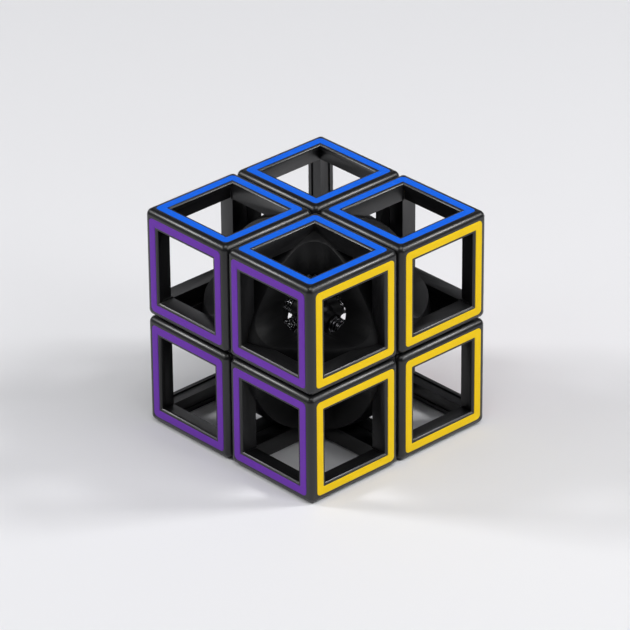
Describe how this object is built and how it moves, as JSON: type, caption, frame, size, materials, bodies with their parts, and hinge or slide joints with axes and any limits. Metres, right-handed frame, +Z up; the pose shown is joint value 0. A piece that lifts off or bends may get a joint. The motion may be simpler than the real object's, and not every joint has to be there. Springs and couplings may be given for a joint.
{
  "type": "open-frame twisty cube puzzle",
  "caption": "Twisty cube puzzle of open black corner cages with coloured square frames, round a sprung core seen through their windows.",
  "frame": {"origin": "centre of the cube, where its three turning axes cross", "axes": "+X towards the right (yellow) face, +Y towards the back (red) face so that -Y is the front (purple) face, +Z up towards the top (blue) face"},
  "size_m": [0.057, 0.057, 0.057],
  "materials": {
    "black_shell": "satin gloss black",
    "inner_black": "satin black",
    "blue": "satin",
    "purple": "satin",
    "yellow": "satin",
    "green": "satin",
    "red": "satin",
    "white": "satin",
    "steel": "bright"
  },
  "bodies": {
    "core_and_springs": {"core": "inner_black", "screws": "steel", "pressure_discs": "inner_black", "cap_top": "inner_black", "cap_bottom": "inner_black", "cap_front": "inner_black", "cap_back": "inner_black", "cap_right": "inner_black", "cap_left": "inner_black", "spring_top": "steel", "spring_bottom": "steel", "spring_front": "steel", "spring_back": "steel", "spring_right": "steel", "spring_left": "steel"},
    "corner_top_back_right": {"cage_top_back_right": "black_shell", "shell_top_back_right": "inner_black", "blue_sticker_back_right": "blue", "yellow_sticker_top_back": "yellow", "red_sticker_top_right": "red"},
    "corner_top_back_left": {"cage_top_back_left": "black_shell", "shell_top_back_left": "inner_black", "blue_sticker_back_left": "blue", "red_sticker_top_left": "red", "white_sticker_top_back": "white"},
    "corner_top_front_left": {"cage_top_front_left": "black_shell", "shell_top_front_left": "inner_black", "blue_sticker_front_left": "blue", "purple_sticker_top_left": "purple", "white_sticker_top_front": "white"},
    "corner_top_front_right": {"cage_top_front_right": "black_shell", "shell_top_front_right": "inner_black", "blue_sticker_front_right": "blue", "purple_sticker_top_right": "purple", "yellow_sticker_top_front": "yellow"},
    "corner_bottom_back_right": {"cage_bottom_back_right": "black_shell", "shell_bottom_back_right": "inner_black", "yellow_sticker_bottom_back": "yellow", "red_sticker_bottom_right": "red", "green_sticker_back_right": "green"},
    "corner_bottom_back_left": {"cage_bottom_back_left": "black_shell", "shell_bottom_back_left": "inner_black", "red_sticker_bottom_left": "red", "white_sticker_bottom_back": "white", "green_sticker_back_left": "green"},
    "corner_bottom_front_left": {"cage_bottom_front_left": "black_shell", "shell_bottom_front_left": "inner_black", "purple_sticker_bottom_left": "purple", "white_sticker_bottom_front": "white", "green_sticker_front_left": "green"},
    "corner_bottom_front_right": {"cage_bottom_front_right": "black_shell", "shell_bottom_front_right": "inner_black", "purple_sticker_bottom_right": "purple", "yellow_sticker_bottom_front": "yellow", "green_sticker_front_right": "green"}
  },
  "joints": [
    {"name": "top_turn", "type": "hinge", "parent": "core_and_springs", "child": "corner_top_front_right", "pos_m": [0, 0, 0], "axis": [0, 0, 1], "continuous": true},
    {"name": "top_turn_front_left", "type": "hinge", "parent": "core_and_springs", "child": "corner_top_front_left", "pos_m": [0, 0, 0], "axis": [0, 0, 1], "continuous": true},
    {"name": "top_turn_back_left", "type": "hinge", "parent": "core_and_springs", "child": "corner_top_back_left", "pos_m": [0, 0, 0], "axis": [0, 0, 1], "continuous": true},
    {"name": "top_turn_back_right", "type": "hinge", "parent": "core_and_springs", "child": "corner_top_back_right", "pos_m": [0, 0, 0], "axis": [0, 0, 1], "continuous": true},
    {"name": "bottom_turn", "type": "hinge", "parent": "core_and_springs", "child": "corner_bottom_front_right", "pos_m": [0, 0, 0], "axis": [0, 0, 1], "continuous": true},
    {"name": "bottom_turn_front_left", "type": "hinge", "parent": "core_and_springs", "child": "corner_bottom_front_left", "pos_m": [0, 0, 0], "axis": [0, 0, 1], "continuous": true},
    {"name": "bottom_turn_back_left", "type": "hinge", "parent": "core_and_springs", "child": "corner_bottom_back_left", "pos_m": [0, 0, 0], "axis": [0, 0, 1], "continuous": true},
    {"name": "bottom_turn_back_right", "type": "hinge", "parent": "core_and_springs", "child": "corner_bottom_back_right", "pos_m": [0, 0, 0], "axis": [0, 0, 1], "continuous": true}
  ],
  "couplings": [
    {"joint": "top_turn_front_left", "follows": "top_turn", "ratio": 1},
    {"joint": "top_turn_back_left", "follows": "top_turn", "ratio": 1},
    {"joint": "top_turn_back_right", "follows": "top_turn", "ratio": 1},
    {"joint": "bottom_turn_front_left", "follows": "bottom_turn", "ratio": 1},
    {"joint": "bottom_turn_back_left", "follows": "bottom_turn", "ratio": 1},
    {"joint": "bottom_turn_back_right", "follows": "bottom_turn", "ratio": 1}
  ]
}
